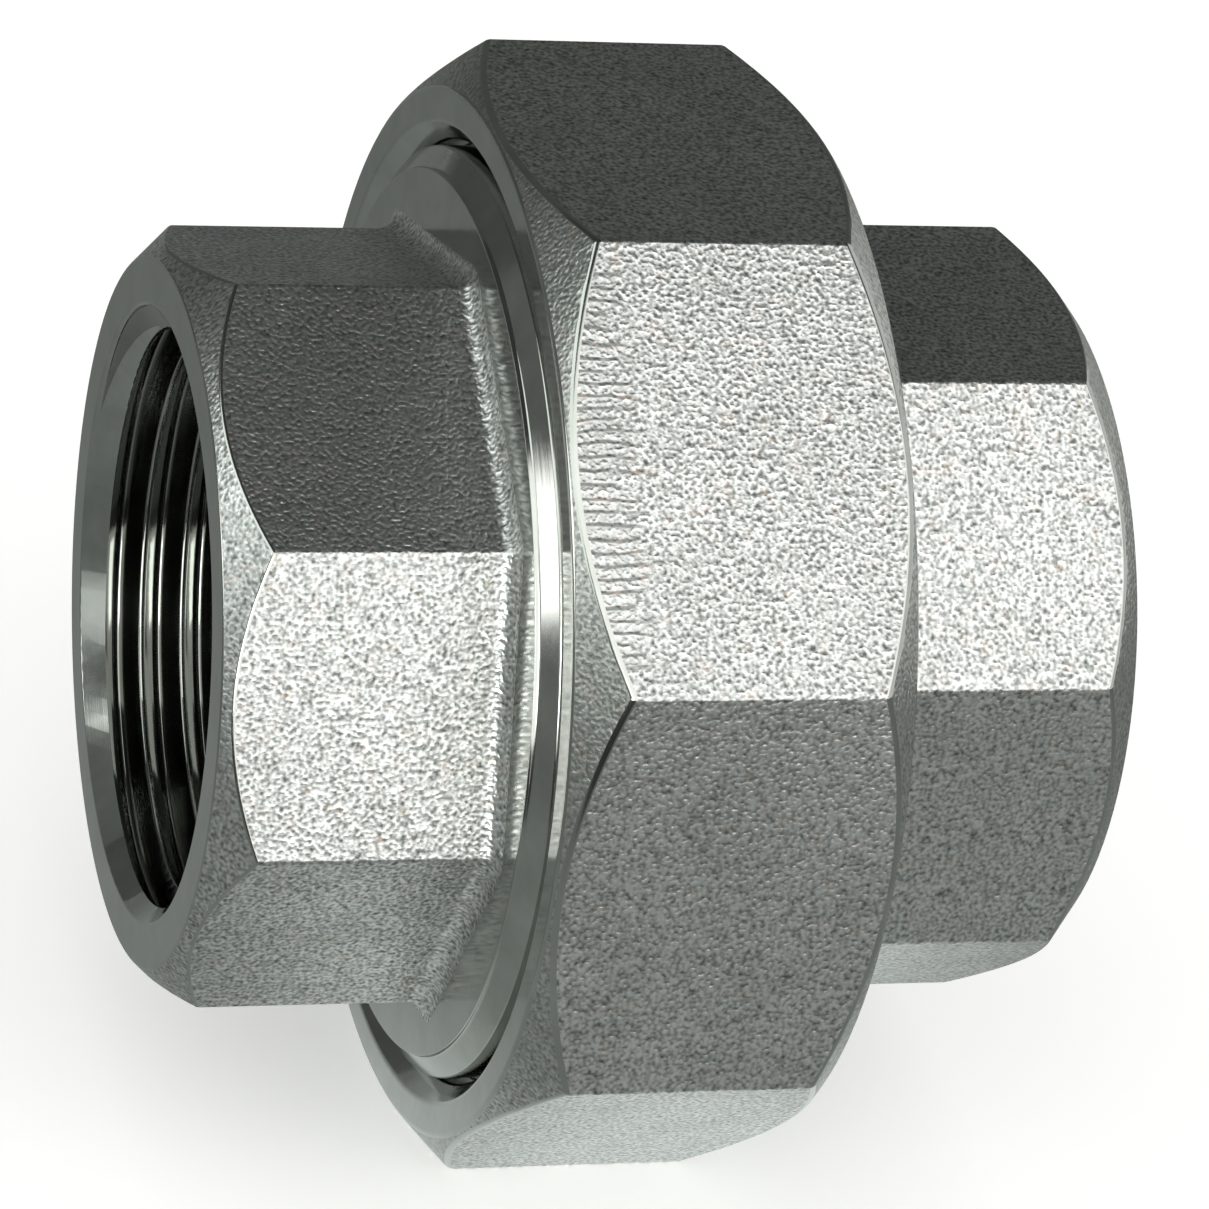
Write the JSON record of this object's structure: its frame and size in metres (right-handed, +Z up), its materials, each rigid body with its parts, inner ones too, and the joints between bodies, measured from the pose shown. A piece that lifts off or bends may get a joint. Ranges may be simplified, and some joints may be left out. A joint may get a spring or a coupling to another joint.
{
  "type": "pipe union",
  "caption": "Pipe union: an octagonal nut draws a flanged tail piece against a threaded end, over a flat seal ring, with a female pipe thread at both ends.",
  "frame": {"origin": "centre of the box, on the pipe axis midway between the two end faces", "axes": "+X along the pipe axis from the tail piece to the threaded end, +Z up, with the nut lying on one of its flats"},
  "size_m": [0.0494, 0.057, 0.057],
  "materials": {
    "cast_steel": "blasted casting with turned faces",
    "white_ptfe": "smooth"
  },
  "bodies": {
    "tail": {"tail_piece": "cast_steel"},
    "nut": {"union_nut": "cast_steel"},
    "end": {"threaded_end": "cast_steel", "seal_ring": "white_ptfe"}
  },
  "joints": [
    {"name": "nut_spin", "type": "hinge", "parent": "tail", "child": "nut", "pos_m": [0, 0, 0], "axis": [-1, 0, 0], "range_deg": [0, 2160]},
    {"name": "end_draw", "type": "slide", "parent": "tail", "child": "end", "axis": [1, 0, 0], "range_m": [0, 0.00901]}
  ],
  "couplings": [
    {"joint": "end_draw", "follows": "nut_spin", "m_per_rad": 0.00023873}
  ]
}
